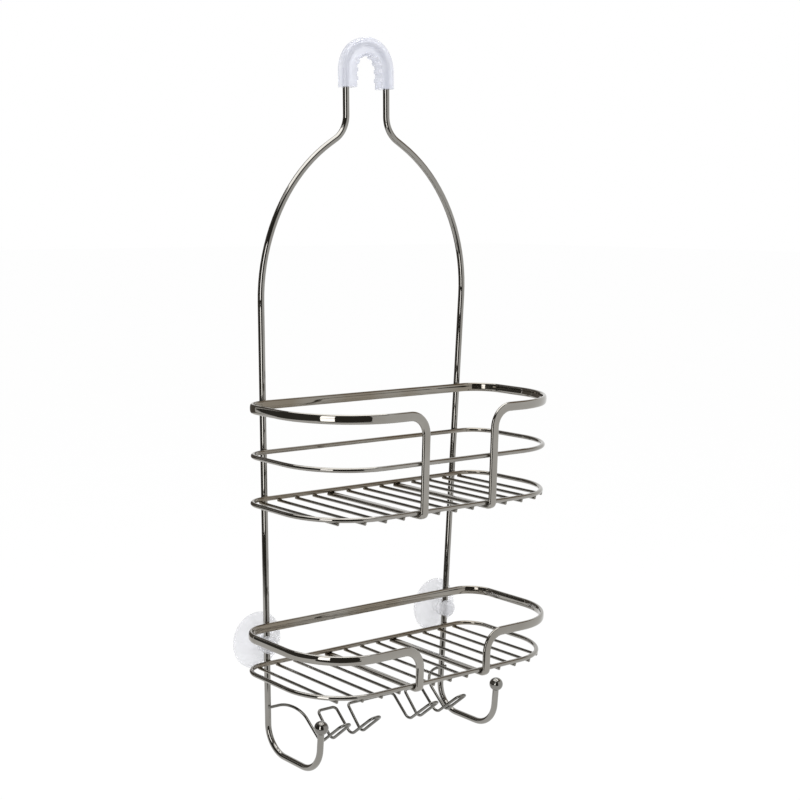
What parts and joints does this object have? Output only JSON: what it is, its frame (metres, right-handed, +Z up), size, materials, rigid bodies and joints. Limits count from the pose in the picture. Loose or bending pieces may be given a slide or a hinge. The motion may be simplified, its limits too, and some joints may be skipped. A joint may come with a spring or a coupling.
{
  "type": "hanging shower caddy",
  "caption": "Bent-wire shower caddy that hangs from a shower arm by a soft ribbed saddle, with baskets, razor slots, side hooks and suction cups.",
  "frame": {"origin": "middle of the saddle grip, on the axis of the shower arm that it hangs from", "axes": "+X to the right as seen from the front, +Y towards the wall, +Z up"},
  "size_m": [0.2948, 0.1505, 0.6562],
  "materials": {
    "plated_steel": "polished dark nickel plate",
    "grip_pvc": "soft clear PVC, faintly violet",
    "clear_pvc": "soft clear PVC"
  },
  "bodies": {
    "caddy": {"frame_wire": "plated_steel", "hook_ball_left": "plated_steel", "hook_ball_right": "plated_steel", "arm_grip": "grip_pvc", "upper_rim": "plated_steel", "upper_middle_ring": "plated_steel", "upper_floor_ring": "plated_steel", "upper_floor_wire_1": "plated_steel", "upper_floor_wire_2": "plated_steel", "upper_floor_wire_3": "plated_steel", "upper_floor_wire_4": "plated_steel", "upper_floor_wire_5": "plated_steel", "upper_floor_wire_6": "plated_steel", "upper_floor_wire_7": "plated_steel", "upper_floor_wire_8": "plated_steel", "upper_floor_wire_9": "plated_steel", "upper_floor_wire_10": "plated_steel", "upper_floor_wire_11": "plated_steel", "lower_rim": "plated_steel", "lower_floor_ring": "plated_steel", "lower_floor_wire_1": "plated_steel", "lower_floor_wire_2": "plated_steel", "lower_floor_wire_3": "plated_steel", "lower_floor_wire_4": "plated_steel", "lower_floor_wire_5": "plated_steel", "lower_floor_wire_6": "plated_steel", "lower_floor_wire_7": "plated_steel", "lower_floor_wire_8": "plated_steel", "lower_floor_wire_9": "plated_steel", "lower_floor_wire_10": "plated_steel", "lower_floor_wire_11": "plated_steel", "razor_hook_wire": "plated_steel"},
    "left_cup": {"suction_cup_left": "clear_pvc"},
    "right_cup": {"suction_cup_right": "clear_pvc"}
  },
  "joints": [
    {"name": "left_cup_swivel", "type": "hinge", "parent": "caddy", "child": "left_cup", "pos_m": [-0.11136, -0.00656, -0.52045], "axis": [-0.0297, 0, 0.9996], "range_deg": [-35, 35]},
    {"name": "right_cup_swivel", "type": "hinge", "parent": "caddy", "child": "right_cup", "pos_m": [0.11136, -0.00656, -0.52045], "axis": [0.0297, 0, 0.9996], "range_deg": [-35, 35]}
  ]
}
